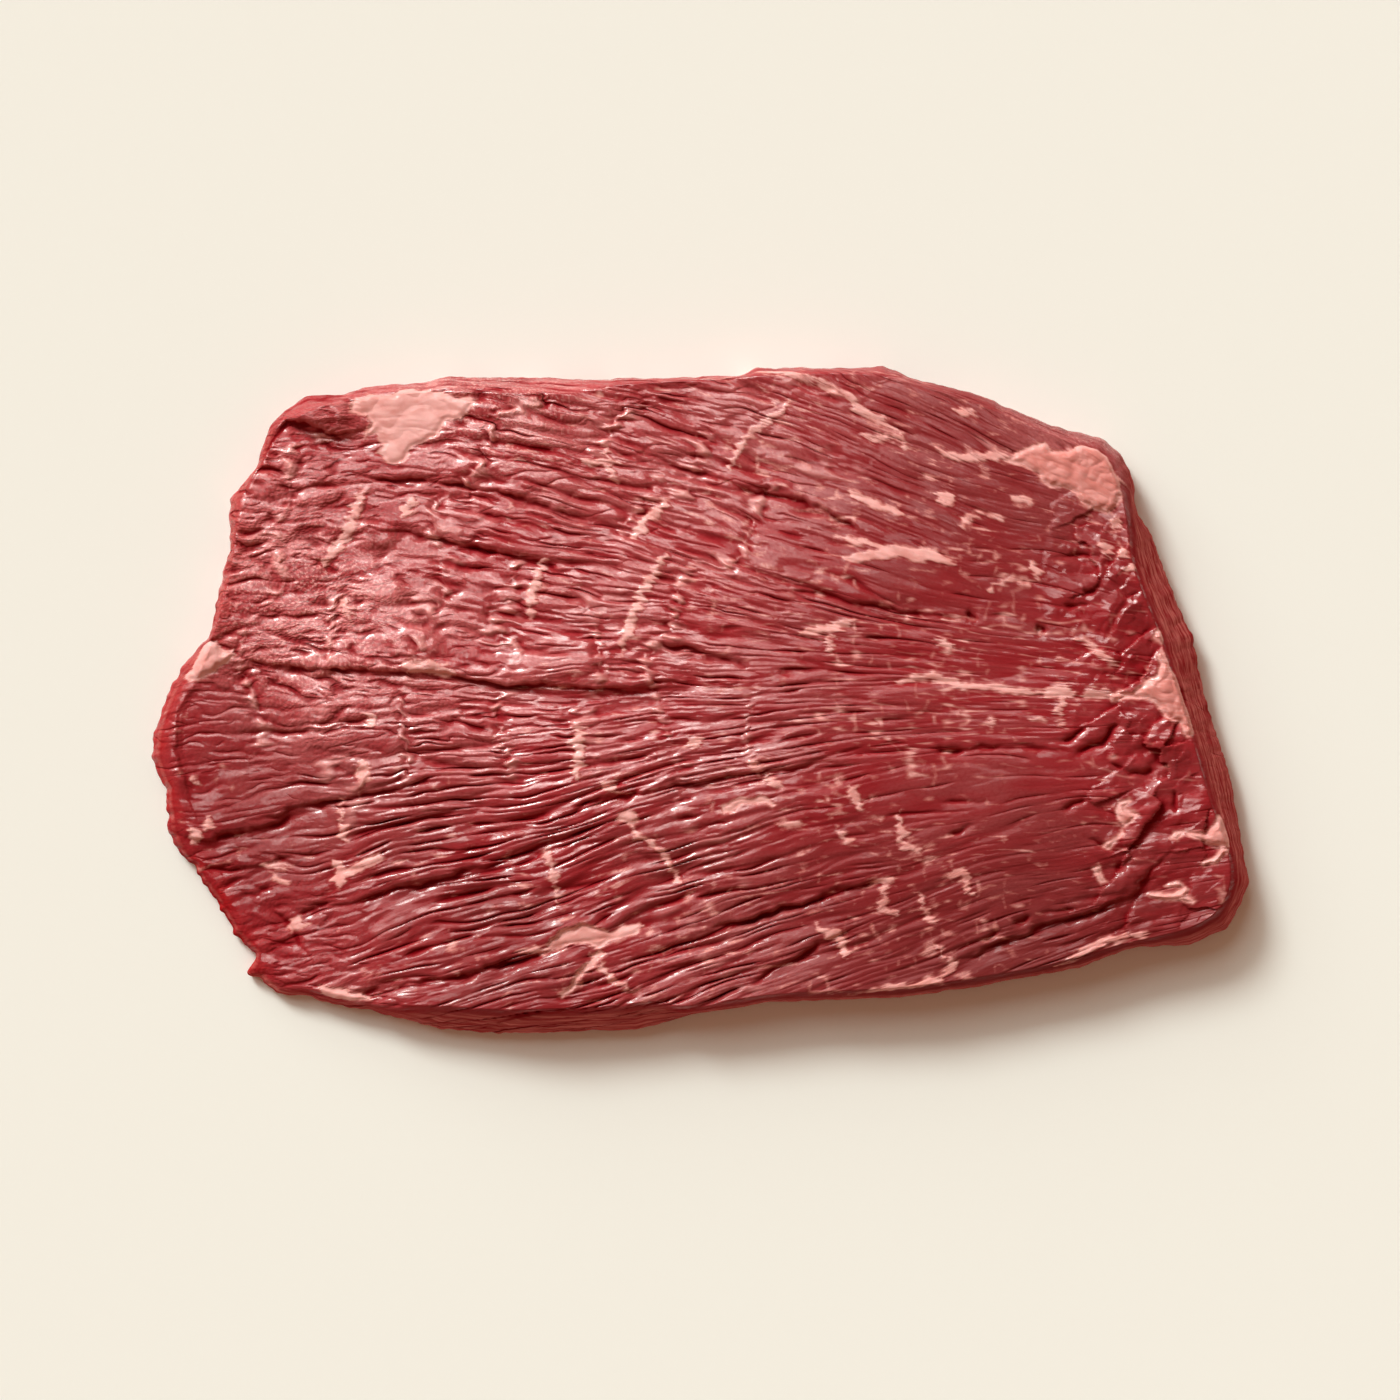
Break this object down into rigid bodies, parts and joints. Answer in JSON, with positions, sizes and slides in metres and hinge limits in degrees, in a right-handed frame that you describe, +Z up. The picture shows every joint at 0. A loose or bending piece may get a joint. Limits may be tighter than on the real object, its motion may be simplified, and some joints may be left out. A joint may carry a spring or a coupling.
{
  "type": "flank steak",
  "caption": "Whole raw flank steak, a flat slab of beef with fanned long fibres, open splits and small patches of fat.",
  "frame": {"origin": "on the ground under the middle of the slab", "axes": "+X along the slab, from the thin end to the thick end, and +Z up, out of the face that shows"},
  "size_m": [0.2998, 0.1834, 0.02],
  "materials": {
    "meat": "moist raw beef, deep red with pale pink fat, satin with small wet glints"
  },
  "bodies": {
    "root": {"flank_steak": "meat"}
  },
  "joints": []
}
